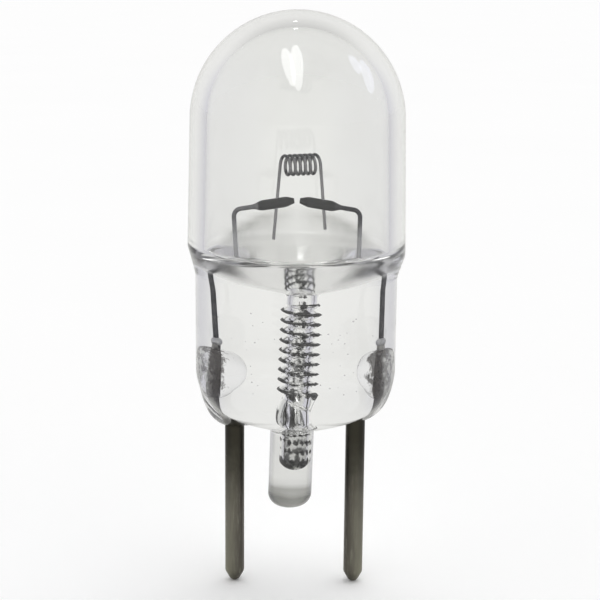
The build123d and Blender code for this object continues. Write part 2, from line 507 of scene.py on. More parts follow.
@dataclass(frozen=True)
class PinFinish:
    """Drawn pin metal: satin and olive grey, dark near the glass with oxide and painted shade, brown inside
    it, with painted shade on each pin's inner side.
    """

    name: str = "drawn_pin_metal"
    bare: Colour = (0.27, 0.26, 0.205)
    # Painted shade: the colour of each pin's inner side, towards the other pin; bare is its lit outer side.
    shaded: Colour = (0.125, 0.115, 0.1)
    # Oxide with painted shade: the pin darkens towards the glass, partly as a painted dark reflection.
    oxide_and_shade: Colour = (0.048, 0.045, 0.034)
    sealed: Colour = (0.035, 0.03, 0.025)
    scale: Colour = (0.4, 0.39, 0.36)
    fleck: Colour = (0.26, 0.25, 0.21)
    axis_x: float = PIN_X
    radius: float = PIN_RADIUS
    streaks: Grain = Grain(16.0, 4.0, along=0.12)
    mottle: Grain = Grain(2.2, 5.0, 0.62)
    blotch: Grain = Grain(3.4, 4.0, 0.6, along=0.5)
    oxide_and_shade_z: Span = (-3.2, -0.5)
    oxide_and_shade_sway: float = 0.9
    seal_z: Span = (-0.1, 0.35)
    pale_x: float = 1.5
    pale_outwards: float = 0.7
    pale_z: float = 1.2
    pale_upwards: float = 0.12
    pale_edge: Span = (0.46, 0.62)
    lit_side_sway: float = 0.3
    lit_side_edge: Span = (-0.9, 0.9)
    fleck_edge: Span = (0.55, 0.8)
    stain_edge: Span = (0.62, 0.85)
    stain_most: float = 0.35
    metallic: float = 0.95
    metallic_loss: float = 0.7
    roughness: float = 0.22
    mottle_roughness: float = 0.14
    streak_roughness: float = 0.1
    sealed_roughness: float = 0.2
    line_depth: float = 0.012
    line_strength: float = 0.35

    def material(self) -> bpy.types.Material:
        """Build the material.

        Returns:
            Metal with draw lines along the pin and an oxide that thickens towards the seal.
        """
        tree = SurfaceTree(self.name)
        spot = tree.place()
        across, height = tree.part(spot, "X").size(), tree.part(spot, "Z")
        streaks, mottle = tree.noise(self.streaks), tree.noise(self.mottle)
        # Darker towards the glass: oxide together with painted shade.
        oxide_and_shade = (height + (mottle - MID) * self.oxide_and_shade_sway).share(*self.oxide_and_shade_z)
        sealed = height.share(*self.seal_z)
        outer = (across - self.pale_x) * self.pale_outwards
        upper = (height - self.pale_z) * self.pale_upwards
        pale = (tree.noise(self.blotch) + outer + upper).share(*self.pale_edge)
        # Painted shade: each pin darker on its inner side and lighter on its outer side.
        lit_side = (across - self.axis_x + (streaks - MID) * self.lit_side_sway) / self.radius
        tone = tree.blend(lit_side.share(*self.lit_side_edge), self.shaded, self.bare)
        tone = tree.blend(streaks.share(*self.fleck_edge), tone, self.fleck)
        tone = tree.blend(oxide_and_shade, tone, self.oxide_and_shade)
        tone = tree.blend(mottle.share(*self.stain_edge) * self.stain_most, tone, self.oxide_and_shade)
        rough = self.roughness + self.mottle_roughness * mottle + self.streak_roughness * streaks
        metal = tree.principled(
            {
                "Base Color": tree.blend(sealed, tone, tree.blend(pale, self.sealed, self.scale)),
                "Metallic": self.metallic - self.metallic_loss * sealed,
                "Roughness": rough + self.sealed_roughness * sealed,
                "Normal": tree.bump(streaks, self.line_depth, self.line_strength),
            }
        )
        return tree.finish(metal)


@dataclass(frozen=True)
class WireFinish:
    """Thin lamp wire: grey where it is bare, darkened where heat has coloured it and, on the filament, by
    painted shade.
    """

    name: str
    bare: Colour
    # Heat colour, and on the filament the colour of painted shade.
    heated_and_shaded: Colour
    tarnish: str = TARNISH_AND_SHADE
    mottle: Grain = Grain(9.0, 4.0, 0.6)
    mottle_sway: float = 0.3
    mottle_roughness: float = 0.2
    dark_edge: Span = (0.1, 0.85)
    grain: Grain = Grain(40.0, 2.0, along=0.3)
    grain_depth: float = 0.004
    grain_strength: float = 0.25
    roughness: float = 0.34
    metallic: float = 0.9

    def material(self) -> bpy.types.Material:
        """Build the material.

        Returns:
            Metal that darkens with the piece's own tarnish and painted shade, with fine lengthwise mottling.
        """
        tree = SurfaceTree(self.name)
        mottle = tree.noise(self.mottle)
        dark = (tree.mark(self.tarnish) + (mottle - MID) * self.mottle_sway).share(*self.dark_edge)
        metal = tree.principled(
            {
                "Base Color": tree.blend(dark, self.bare, self.heated_and_shaded),
                "Metallic": self.metallic,
                "Roughness": self.roughness + self.mottle_roughness * mottle,
                "Normal": tree.bump(tree.noise(self.grain), self.grain_depth, self.grain_strength),
            }
        )
        return tree.finish(metal)


@dataclass(frozen=True)
class FloorFinish:
    """Plain pale floor, white to the eye and duller to glass and metal, with the object's shadow, painted
    shadow near the bulb and a painted cool tint at its sides.
    """

    name: str = "pale_floor"
    lit: Colour = (0.78, 0.78, 0.78)
    seen: Colour = WHITE
    fleck: Colour = (0.985, 0.985, 0.985)
    flecks: Grain = Grain(0.05, 2.0)
    # Painted shadow: near the bulb the floor is darker to glass and metal.
    near: Colour = (0.72, 0.72, 0.7)
    far: Colour = (0.86, 0.86, 0.84)
    # Painted cool reflection: the floor's sides are tinted lilac for glass and metal.
    side: Colour = (0.67, 0.665, 0.73)
    reach: Span = (5.0, 34.0)
    least_reach: float = 1.0

    def material(self) -> bpy.types.Material:
        """Build the material.

        Returns:
            A matt surface whose colour depends on what looks at it.
        """
        tree = SurfaceTree(self.name)
        camera, mirrored = tree.kinds_of_ray()
        spot = tree.place()
        seen = tree.blend(tree.noise(self.flecks), self.seen, self.fleck)
        away = tree.vector("LENGTH", spot, out="Value")
        # Painted shadow near the bulb and painted cool tint at the sides, seen only by glass and metal.
        dull = tree.blend(away.share(*self.reach), self.near, self.far)
        beside = (tree.part(spot, "X").size() / away.most(self.least_reach)).share(*BESIDE)
        dull = tree.blend(beside, dull, self.side, "MULTIPLY")
        tone = tree.blend(camera, tree.blend(mirrored, self.lit, dull), seen)
        return tree.finish(tree.add("ShaderNodeBsdfDiffuse", None, {"Color": tone}))


def round_corners(points: Sequence[Point], radii: Sequence[float], step: float, turn: float) -> np.ndarray:
    """A half outline with round corners, as closely spaced points.

    Args:
        points: Corners as radius and height, ends included.
        radii: Rounding of each inner corner.
        step: Longest run between points.
        turn: Largest turn between points on a rounding, in radians.

    Returns:
        Rows of radius and height.
    """
    corners = [np.array(p, float) for p in points]
    rows = [corners[0]]

    def run_to(end: np.ndarray) -> None:
        """Add evenly spaced points.

        Args:
            end: The last of them.
        """
        start = rows[-1]
        count = max(1, math.ceil(float(np.linalg.norm(end - start)) / step))
        rows.extend(start + (end - start) * i / count for i in range(1, count + 1))

    for before, corner, after, radius in zip(corners, corners[1:], corners[2:], radii):
        back = (before - corner) / np.linalg.norm(before - corner)
        ahead = (after - corner) / np.linalg.norm(after - corner)
        half = math.acos(float(np.clip(back @ ahead, -1, 1))) / 2
        reach = radius / math.tan(half)
        centre = corner + (back + ahead) / np.linalg.norm(back + ahead) * radius / math.sin(half)
        first, last = corner + back * reach - centre, corner + ahead * reach - centre
        run_to(centre + first)
        swing = math.atan2(first[0] * last[1] - first[1] * last[0], first @ last)
        count = max(2, math.ceil(abs(swing) / turn))
        for i in range(1, count + 1):
            a = swing * i / count
            c, s = math.cos(a), math.sin(a)
            rows.append(centre + np.array([c * first[0] - s * first[1], s * first[0] + c * first[1]]))
    run_to(corners[-1])
    return np.array(rows)


def arc(centre: Point, radius: float, start: float, end: float, turn: float) -> np.ndarray:
    """Points on an arc, with angles in radians from the level.

    Args:
        centre: Centre as radius and height.
        radius: Radius of the arc.
        start: First angle.
        end: Last angle.
        turn: Largest turn between points.

    Returns:
        Rows of radius and height.
    """
    count = max(2, math.ceil(abs(end - start) / turn))
    a = np.linspace(start, end, count + 1)
    return np.stack([centre[0] + radius * np.cos(a), centre[1] + radius * np.sin(a)], axis=1)


def ring_angles(segments: int) -> np.ndarray:
    """Angles of the points round a ring."""
    return np.arange(segments) * 2 * math.pi / segments


def ramp(values: np.ndarray, low: float, high: float) -> np.ndarray:
    """A straight step from 0 at low to 1 at high, or back where low is the larger."""
    return np.clip((values - low) / (high - low), 0, 1)


def smooth(values: np.ndarray, low: float, high: float) -> np.ndarray:
    """A smooth step from 0 at low to 1 at high, or back where low is the larger."""
    share = ramp(values, low, high)
    return share**2 * (3 - 2 * share)


def ring_grid(outline: np.ndarray, segments: int, shift: Optional[np.ndarray] = None) -> np.ndarray:
    """Spin a half outline to rings of points.

    Args:
        outline: Rows of radius and height.
        segments: Points round a ring.
        shift: X of each ring's centre.

    Returns:
        Points by ring, place round it, and axis.
    """
    a = ring_angles(segments)
    r, z = outline[:, :1], outline[:, 1:]
    x = r * np.cos(a) + (0 if shift is None else shift[:, None])
    return np.stack([x, r * np.sin(a), z + 0 * a], axis=2)


def grid_normals(grid: np.ndarray) -> np.ndarray:
    """Outward normals of rings.

    Args:
        grid: Points by ring, from the top down.

    Returns:
        A unit normal for each point.
    """
    down = np.gradient(grid, axis=0)
    along = np.roll(grid, -1, axis=1) - np.roll(grid, 1, axis=1)
    normal = np.cross(down, along)
    return normal / np.maximum(np.linalg.norm(normal, axis=2, keepdims=True), TINY)


class Skin:
    """Points and faces of a mesh that is being gathered, in millimetres."""

    def __init__(self) -> None:
        """Start empty."""
        self.points: list[np.ndarray] = []
        self.marks: dict[Mark, list[np.ndarray]] = {mark: [] for mark in Mark}
        self.faces: list[tuple[int, ...]] = []
        self.count = 0

    def add_rings(
        self, grid: np.ndarray, inward: bool = False, marks: Optional[dict[Mark, np.ndarray]] = None
    ) -> None:
        """Add rings closed by a pole at each end. The first and last ring are shrunk to those poles.

        Args:
            grid: Points by ring, from the top down.
            inward: True for the wall of a hollow, whose faces point to the axis.
            marks: What the finish needs to know of each point.
        """
        rings, segments, _ = grid.shape
        top, low = grid[0].mean(axis=0), grid[-1].mean(axis=0)
        body = grid[1:-1].reshape(-1, 3)
        base = self.count + 1
        foot = base + len(body)
        quads: list[tuple[int, ...]] = []
        for j in range(segments):
            k = (j + 1) % segments
            quads.append((self.count, base + j, base + k))
            for i in range(rings - 3):
                a, b = base + i * segments, base + (i + 1) * segments
                quads.append((a + j, b + j, b + k, a + k))
            last = base + (rings - 3) * segments
            quads.append((last + j, foot, last + k))
        self.faces += [q[::-1] for q in quads] if inward else quads
        self.points += [top[None], body, low[None]]
        for mark, kept in self.marks.items():
            values = (marks or {}).get(mark, np.zeros(grid.shape[:2]))
            kept += [values[0, :1], values[1:-1].ravel(), values[-1, :1]]
        self.count = foot + 1

    def piece(self, name: str, material: bpy.types.Material) -> bpy.types.Object:
        """Write the mesh as a smooth piece.

        Args:
            name: Name of the piece.
            material: Its material.

        Returns:
            The object, at the origin.
        """
        mesh = bpy.data.meshes.new(name)
        mesh.from_pydata(np.concatenate(self.points) * MM, [], self.faces)
        mesh.materials.append(material)
        mesh.shade_smooth()
        for mark, values in self.marks.items():
            kept = mesh.attributes.new(mark.value, "FLOAT", "POINT")
            kept.data.foreach_set("value", np.concatenate(values))
        mesh.update()
        return show(name, mesh)


def show(name: str, data: bpy.types.ID) -> bpy.types.Object:
    """Put a mesh, lamp or camera in the scene.

    Args:
        name: Name of the object.
        data: What it shows.

    Returns:
        The object, at the origin.
    """
    piece = bpy.data.objects.new(name, data)
    bpy.context.scene.collection.objects.link(piece)
    return piece


def seat(piece: bpy.types.Object, slot: Slot, *nodes: str) -> bpy.types.Object:
    """Make a piece part of the bulb and let it stand for its solids.

    Args:
        piece: The finished piece.
        slot: The record's slot for the piece. Not used.
        nodes: Names of the solids, none for a piece that is only seen.

    Returns:
        The piece.
    """
    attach(piece, BODY)
    if nodes:
        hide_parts(*nodes)
    stands_for = ", ".join(nodes) or "itself"
    LOG.info("%s: %d faces, stands for %s", piece.name, len(piece.data.polygons), stands_for)
    return piece


class PathTree(Tree):
    """A geometry tree with named sizes, run on a line of points."""

    # Places of a Random Value node's numbers, whose names repeat for every type of data.
    RANDOM_LOW, RANDOM_HIGH, RANDOM_OUT = 2, 3, 1

    def __init__(self, name: str) -> None:
        """Start a tree that takes and gives geometry.

        Args:
            name: Its name.
        """
        self.group = bpy.data.node_groups.new(name, "GeometryNodeTree")
        super().__init__(self.group)
        self.sizes: dict[str, float] = {}
        self._socket("Geometry", "INPUT", "NodeSocketGeometry")
        self._socket("Geometry", "OUTPUT", "NodeSocketGeometry")

    def _socket(self, name: str, way: str, kind: str) -> bpy.types.NodeTreeInterfaceSocket:
        """Add a socket to the tree's own interface."""
        return self.group.interface.new_socket(name, in_out=way, socket_type=kind)

    def start(self) -> Value:
        """The geometry that the tree is run on."""
        return self.add("NodeGroupInput", out="Geometry")

    def length(self, name: str, size: float) -> Value:
        """A named input that holds a length.

        Args:
            name: Its name.
            size: Its size in millimetres.

        Returns:
            The length in metres.
        """
        socket = self._socket(name, "INPUT", "NodeSocketFloat")
        self.sizes[socket.identifier] = size * MM
        return self.add("NodeGroupInput", out=name)

    def chance(self, low: Any, high: Any, seed: int) -> Value:
        """A random number from low to high for each point, the same on every run."""
        sockets = {self.RANDOM_LOW: low, self.RANDOM_HIGH: high, "Seed": seed}
        return self.add("FunctionNodeRandomValue", {"data_type": "FLOAT"}, sockets, out=self.RANDOM_OUT)

    def keep(self, shape: Value, name: str, value: Value, kind: str = "FLOAT") -> Value:
        """Store a value on the points of a shape.

        Args:
            shape: The shape.
            name: Name of the attribute.
            value: What to store.
            kind: Blender's data type.

        Returns:
            The shape.
        """
        settings = {"data_type": kind, "domain": "POINT"}
        sockets = {"Geometry": shape, "Name": name, "Value": value}
        return self.add("GeometryNodeStoreNamedAttribute", settings, sockets)

    def kept(self, name: str, kind: str = "FLOAT") -> Value:
        """What was stored on the points under a name."""
        return self.add("GeometryNodeInputNamedAttribute", {"data_type": kind}, {"Name": name})

    def tube(self, curve: Value, radius: Value, sides: int) -> Value:
        """Sweep a round wire along a curve, with closed ends."""
        profile = self.add(
            "GeometryNodeCurvePrimitiveCircle", None, {"Resolution": sides, "Radius": radius}, out="Curve"
        )
        return self.add(
            "GeometryNodeCurveToMesh",
            None,
            {"Curve": curve, "Profile Curve": profile, "Fill Caps": True},
        )

    def finish(self, shape: Value, material: bpy.types.Material) -> None:
        """Realize the shape, smooth it and give it its material.

        Args:
            shape: The geometry to hand out.
            material: Its material.
        """
        shape = self.add("GeometryNodeRealizeInstances", None, {"Geometry": shape})
        shape = self.add("GeometryNodeSetShadeSmooth", None, {"Geometry": shape})
        shape = self.add("GeometryNodeSetMaterial", None, {"Geometry": shape, "Material": material})
        self.add("NodeGroupOutput", None, {"Geometry": shape})

    def run(self, name: str, points: Sequence[Triple]) -> bpy.types.Object:
        """Run the tree on a line of points and keep the result as a plain mesh.

        Args:
            name: Name of the piece.
            points: The line, in millimetres.

        Returns:
            The piece, with no modifier.
        """
        line = bpy.data.meshes.new(name)
        edges = [(i, i + 1) for i in range(len(points) - 1)]
        line.from_pydata([Vector(p) * MM for p in points], edges, [])
        piece = show(name, line)
        modifier = piece.modifiers.new("path", "NODES")
        modifier.node_group = self.group
        for identifier, size in self.sizes.items():
            modifier[identifier] = size
        graph = bpy.context.evaluated_depsgraph_get()
        made = bpy.data.meshes.new_from_object(piece.evaluated_get(graph))
        piece.modifiers.remove(modifier)
        piece.data = made
        made.name = name
        while made.materials[0] is None:
            made.materials.pop(index=0)
        bpy.data.meshes.remove(line)
        return piece


@dataclass(frozen=True)
class Soot:
    """How painted shade lies in the bore: in the ribs' grooves, most towards the bore's sides, in the neck
    over them and in the tube below.
    """

    groove_edge: Span = (-0.03125, 0.59375)
    groove_fade_pitches: float = 2.0
    side_edge: Span = (0.375, 1.0)
    front: float = 0.64
    thin: float = 0.48
    neck: float = 0.6
    neck_edge: Span = (0.5, 0.7)
    tube: float = 0.85
    fleck: float = 0.5
    fleck_stroke: float = 0.2
    fleck_ring: float = 0.5
    stroke_count: int = 13
    stroke_slant: float = 5.0
    end: float = 0.72
    end_rise: Span = (0.42, 0.22)


@dataclass(frozen=True)
class Film:
    """How grey film and painted shadow lie: on the floor, up the far wall in a low hill of painted shadow,
    in the bore and on the tube's tip.
    """

    hill_z: float = 4.4
    hill_rise: float = 0.7
    hill_half_width: float = 2.2
    fade: float = 0.3
    floor: float = 0.65
    flank: float = 2.1
    flank_rise: Span = (-0.3, 0.7)
    middle: float = 0.2
    middle_reach: float = 0.8
    edge: Span = (0.82, 0.98)
    edge_loss: float = 0.75
    neck: float = 0.2
    neck_reach: float = 2.0
    tube: float = 0.6
    tip: float = 1.7
    tip_z: Span = (-2.0, -2.12)


@dataclass
class GlassBody:
    """The envelope, its solid foot and the tipped-off exhaust tube, fused to one piece of glass."""

    dome_radius: float = 2.71
    dome_z: float = 7.69
    taper: float = math.radians(1.4)
    shoulder_top_z: float = 4.4
    shoulder_foot_z: float = 3.75
    shoulder_top_rounding: float = 0.4
    shoulder_rounding: float = 0.9
    shoulder_tilt: float = 0.1
    tilt_reach: float = 0.9
    foot_radius: float = 2.59
    foot_rounding: float = 1.3
    underside_slope: float = math.tan(math.radians(21))
    pin_x: float = PIN_X
    bead_radius: float = 0.78
    bead_z: float = 0.525
    bead_stagger: float = 0.1
    bead_blend: float = 0.34
    bead_halvings: int = 40
    wall: float = 0.42
    mouth_z: float = 3.52
    mouth_rounding: float = 0.12
    floor_slope: float = math.tan(math.radians(23))
    floor_rounding: float = 0.22
    tube_radius: float = 0.5735
    tube_fillet: float = 0.16
    tube_tip_z: float = -2.518
    tube_tip_rounding: float = 0.34
    tube_lean: float = math.tan(math.radians(1.6))
    tube_x: float = 0.036
    tube_flare: Span = (1.3, 0.65)
    tube_top_z: float = 0.1
    bore_x: float = 0.111
    bore_flare: Span = (1.2, 0.4)
    bore_radius: float = 0.28
    bore_end_z: float = -1.5
    bore_end_coarseness: float = 3.0
    rib_crest: float = 0.22
    rib_root: float = 0.365
    rib_pitch: float = 0.2585
    rib_count: int = 11
    rib_start_z: float = 3.16
    segments: int = 176
    step: float = 0.16
    turn: float = math.radians(3.0)
    rib_step: float = 0.0185
    hair: float = 0.0052
    # Painted shade in the bore.
    soot: Soot = Soot()
    # Grey film, and painted shadow up the far wall.
    film: Film = Film()

    @property
    def ribs_end_z(self) -> float:
        """Height at which the ribs run out."""
        return self.rib_start_z - self.rib_pitch * self.rib_count

    def wall_radius(self, dome_radius: float, z: float) -> float:
        """Radius of the tapered wall under a dome, at height z."""
        tangent_z = self.dome_z + dome_radius * math.sin(self.taper)
        return dome_radius * math.cos(self.taper) + (tangent_z - z) * math.tan(self.taper)

    def dome(self, radius: float) -> np.ndarray:
        """Outline of a dome from its crown to the tapered wall."""
        return arc((0.0, self.dome_z), radius, math.pi / 2, self.taper, self.turn)

    def lean(self, x: float, z: np.ndarray) -> np.ndarray:
        """X of a leaning line that is at x at the mouth's height, at heights z."""
        return x - (self.mouth_z - z) * self.tube_lean

    def outside(self) -> np.ndarray:
        """Shape the outer skin, from the crown to the tube's tip.

        Returns:
            Its rings.
        """
        dome = self.dome(self.dome_radius)
        slope, foot = self.underside_slope, self.foot_radius
        low = (self.tube_radius - self.pin_x) * slope
        outline = round_corners(
            [
                tuple(dome[-1]),
                (self.wall_radius(self.dome_radius, self.shoulder_top_z) - self.hair, self.shoulder_top_z),
                (foot, self.shoulder_foot_z),
                (foot, (foot - self.pin_x) * slope),
                (self.tube_radius, low),
                (self.tube_radius, self.tube_tip_z),
                (0.0, self.tube_tip_z),
            ],
            [
                self.shoulder_top_rounding,
                self.shoulder_rounding,
                self.foot_rounding,
                self.tube_fillet,
                self.tube_tip_rounding,
            ],
            self.step,
            self.turn,
        )
        outline = np.concatenate([dome[:-1], outline])
        radius, z = outline.T
        near_tube = np.where(z < self.mouth_z, smooth(radius, *self.tube_flare), 0.0)
        grid = ring_grid(outline, self.segments, near_tube * self.lean(self.tube_x, z))
        near_rim = smooth(np.abs(z - self.shoulder_top_z), self.tilt_reach, 0.0)[:, None]
        grid[..., 2] -= self.shoulder_tilt * near_rim * grid[..., 0] / self.dome_radius
        return self.with_beads(grid)

    def with_beads(self, grid: np.ndarray) -> np.ndarray:
        """Swell the foot's underside to the two glass beads round the pins.

        Args:
            grid: Rings of the plain outer skin.

        Returns:
            The rings, moved out along their normals where a bead stands proud.
        """
        normals = grid_normals(grid)
        near, far = np.zeros(grid.shape[:2]), np.full(grid.shape[:2], self.bead_radius)
        for _ in range(self.bead_halvings):
            middle = (near + far) / 2
            spots = grid + normals * middle[..., None]
            depth = middle
            for side in Side:
                centre = (side.value * self.pin_x, 0.0, self.bead_z + side.value * self.bead_stagger)
                bead = np.linalg.norm(spots - centre, axis=2) - self.bead_radius
                overlap = np.maximum(self.bead_blend - np.abs(depth - bead), 0.0)
                depth = np.minimum(depth, bead) - overlap**2 / (4 * self.bead_blend)
            outside = depth > 0
            far = np.where(outside, middle, far)
            near = np.where(outside, near, middle)
        reach = np.where(grid[..., 2] < self.mouth_z, near, 0.0)
        return grid + normals * reach[..., None]

    def inside(self) -> np.ndarray:
        """Draw the hollow with a plain bore: the gas space, the funnel floor and the bore.

        Returns:
            Rows of radius and height.
        """
        radius = self.dome_radius - self.wall
        dome = self.dome(radius)
        plain = self.bore_radius
        apex = self.mouth_z - self.floor_slope * plain
        corner_z = apex + self.floor_slope * self.wall_radius(radius, self.mouth_z)
        bowl = round_corners(
            [
                tuple(dome[-1]),
                (self.wall_radius(radius, corner_z), corner_z),
                (plain, self.mouth_z),
                (plain, self.rib_start_z),
            ],
            [self.floor_rounding, self.mouth_rounding],
            self.step,
            self.turn,
        )
        heights = np.arange(bowl[-1, 1] - self.rib_step, self.ribs_end_z - self.rib_pitch, -self.rib_step)
        close_z = self.bore_end_z + plain
        run = np.arange(heights[-1], close_z, -self.step / 2)[1:]
        heights = np.concatenate([heights, run])
        bore = np.stack([np.full(len(heights), plain), heights], axis=1)
        close = arc((0.0, close_z), plain, 0.0, -math.pi / 2, self.bore_end_coarseness * self.turn)
        return np.concatenate([dome[:-1], bowl, bore, close])

    def rib_amount(self, z: np.ndarray) -> np.ndarray:
        """How far the ribs are formed.

        Args:
            z: Heights in the bore.

        Returns:
            0 for a plain bore to 1 for whole ribs.
        """
        half = self.rib_pitch / 2
        start = ramp(z, self.rib_start_z, self.rib_start_z - half)
        return start * ramp(z, self.ribs_end_z - half, self.ribs_end_z + half)

    def rib_wave(self, z: np.ndarray) -> np.ndarray:
        """The ribs as one left-handed thread at heights z: -1 on a crest, 1 in a groove."""
        phase = 2 * math.pi * z / self.rib_pitch + ring_angles(self.segments)
        return np.arcsin(np.cos(phase)) * 2 / math.pi

    def with_ribs(self, outline: np.ndarray) -> np.ndarray:
        """Spin the hollow, leaning its bore, and wind the ribs into that bore.

        Args:
            outline: The hollow with a plain bore.

        Returns:
            Its rings.
        """
        radius, z = outline[:, :1], outline[:, 1:]
        near_bore = np.where(z < self.dome_z, smooth(radius, *self.bore_flare), 0.0)
        centre = self.lean(self.bore_x, z)
        grid = ring_grid(outline, self.segments, (near_bore * centre)[:, 0])
        middle, swing = (self.rib_root + self.rib_crest) / 2, (self.rib_root - self.rib_crest) / 2
        amount = self.rib_amount(z)
        wanted = radius + amount * (middle + swing * self.rib_wave(z) - radius)
        factor = np.where(amount > 0, wanted / np.maximum(radius, TINY), 1.0)
        grid[..., 0] = centre + (grid[..., 0] - centre) * factor
        grid[..., 1] *= factor
        return grid

    def soot_marks(self, outline: np.ndarray) -> np.ndarray:
        """How much painted shade lies in the bore.

        Args:
            outline: The hollow with a plain bore.

        Returns:
            0 for clear to 1 for fully shaded, by ring and place round it.
        """
        soot = self.soot
        radius, z = outline[:, :1], outline[:, 1:]
        angle, wave = ring_angles(self.segments), self.rib_wave(z)
        # Painted shade: strongest in the grooves and towards the bore's sides.
        side = ramp(np.abs(np.cos(angle)), *soot.side_edge)
        deep = ramp(wave, *soot.groove_edge) * (soot.front + (1 - soot.front) * side)
        fading = ramp(z, self.ribs_end_z, self.ribs_end_z + soot.groove_fade_pitches * self.rib_pitch)
        groove = fading * np.maximum(deep, soot.thin * (1 - side))
        groove = np.where(self.rib_amount(z) > 0, groove, 0.0)
        neck = (z > self.rib_start_z) & (z < self.mouth_z) & (radius < self.rib_root)
        neck = neck * ramp(wave, *soot.neck_edge) * soot.neck
        strokes = np.sin(soot.stroke_count * angle + soot.stroke_slant * z)
        flecks = np.clip(soot.fleck + soot.fleck_stroke * strokes + soot.fleck_ring * wave, 0, 1)
        tube = (z < self.tube_top_z) & (z > self.bore_end_z)
        end = soot.end * ramp(z, *(self.bore_end_z + rise for rise in soot.end_rise))
        low = soot.tube * np.maximum(tube * flecks, end)
        return np.maximum(np.maximum(groove, neck), low)

    def film_marks(self, rings: np.ndarray) -> np.ndarray:
        """How much grey film and painted shadow lie in the hollow.

        Args:
            rings: Rings of the hollow.

        Returns:
            0 for clean upwards, by ring and place round it.
        """
        film = self.film
        x, y, z = rings[..., 0], rings[..., 1], rings[..., 2]
        aside = np.abs(x) / film.hill_half_width
        # Painted shadow: a low hill of grey up the far wall.
        top = film.hill_z + np.where(y > 0, film.hill_rise * (1 - aside**2), 0.0)
        share = smooth(top - z, -film.fade / 2, film.fade / 2)
        spread = film.middle + (1 - film.middle) * ramp(aside, 0.0, film.middle_reach)
        spread = spread * (1 - film.edge_loss * ramp(aside, *film.edge))
        raised = ramp((z - film.hill_z) / film.hill_rise, *film.flank_rise)
        amount = (film.floor + (film.flank - film.floor) * raised) * spread
        amount = np.where(np.hypot(x, y) < film.neck_reach * self.bore_radius, film.neck, amount)
        tube = np.where(z < self.tube_top_z, film.tube, 0.0)
        return np.where(z > self.rib_start_z, share * amount, tube)

    def build(self, finish: GlassFinish) -> bpy.types.Object:
        """Make the glass.

        Args:
            finish: Its finish.

        Returns:
            The piece.
        """
        skin = Skin()
        outer = self.outside()
        tip = self.film.tip * ramp(outer[..., 2], *self.film.tip_z)
        skin.add_rings(outer, marks={Mark.FILM: tip})
        hollow = self.inside()
        rings = self.with_ribs(hollow)
        marks = {Mark.SOOT: self.soot_marks(hollow), Mark.FILM: self.film_marks(rings)}
        skin.add_rings(rings, inward=True, marks=marks)
        piece = skin.piece("glass_body", finish.material())
        return seat(piece, Slot.GLASS, "glass_envelope", "exhaust_tube")


@dataclass
class ContactPin:
    """A round contact pin with a blunt tip and a slimmer shank that leans inwards in the foot."""

    side: Side
    x: float = PIN_X
    radius: float = PIN_RADIUS
    reach: float = 4.68
    tip_length: float = 0.28
    tip_flat: float = 0.1
    tip_rounding: float = 0.16
    exit_z: Pair = (-0.3125, -0.1125)
    shank_foot_radius: float = 0.21
    shank_top_radius: float = 0.085
    shank_top_z: float = 2.05
    shank_lean: Pair = (math.tan(math.radians(3.8)), math.tan(math.radians(0.4)))
    edge: float = 0.04
    segments: int = 72
    step: float = 0.1
    turn: float = math.radians(12)

    def build(self, material: bpy.types.Material) -> bpy.types.Object:
        """Make the pin.

        Args:
            material: The pin metal.

        Returns:
            The piece.
        """
        right = self.side is Side.RIGHT
        exit_z = self.exit_z[right]
        free = [
            (0.0, exit_z),
            (self.radius, exit_z),
            (self.radius, self.tip_length - self.reach),
            (self.tip_flat, -self.reach),
            (0.0, -self.reach),
        ]
        shank = [
            (0.0, self.shank_top_z),
            (self.shank_top_radius, self.shank_top_z),
            (self.shank_foot_radius, exit_z),
            (self.shank_foot_radius, exit_z - self.shank_foot_radius),
            (0.0, exit_z - self.shank_foot_radius),
        ]
        skin = Skin()
        for corners, radii, lean in (
            (free, [self.edge, self.tip_rounding, self.tip_rounding], 0.0),
            (shank, [self.edge, self.edge, self.edge], self.shank_lean[right]),
        ):
            outline = round_corners(corners, radii, self.step, self.turn)
            centre = self.side.value * (self.x - lean * (outline[:, 1] - exit_z))
            skin.add_rings(ring_grid(outline, self.segments, centre))
        name = f"pin_{self.side.word}"
        return seat(skin.piece(name, material), Slot.PIN, f"contact_pin_{self.side.word}")


@dataclass
class SealBead:
    """The older glass that was beaded round a pin's shank before the foot was pressed."""

    side: Side
    pin_x: float = PIN_X
    inset: Pair = (0.115, 0.02)
    centre_z: float = 1.33
    radius: Pair = (0.62, 0.48)
    half_height: float = 0.52
    bluntness: float = 0.6
    segments: int = 64
    rings: int = 40

    def build(self, material: bpy.types.Material) -> bpy.types.Object:
        """Make the bead.

        Args:
            material: The bead's glass.

        Returns:
            The piece.
        """
        right = self.side is Side.RIGHT
        a = np.linspace(math.pi / 2, -math.pi / 2, self.rings)
        girth = self.radius[right] * np.maximum(np.cos(a), 0.0) ** self.bluntness
        outline = np.stack([girth, self.centre_z + self.half_height * np.sin(a)], axis=1)
        centre = np.full(self.rings, self.side.value * (self.pin_x - self.inset[right]))
        skin = Skin()
        skin.add_rings(ring_grid(outline, self.segments, centre))
        return seat(skin.piece(f"seal_bead_{self.side.word}", material), Slot.GLASS)


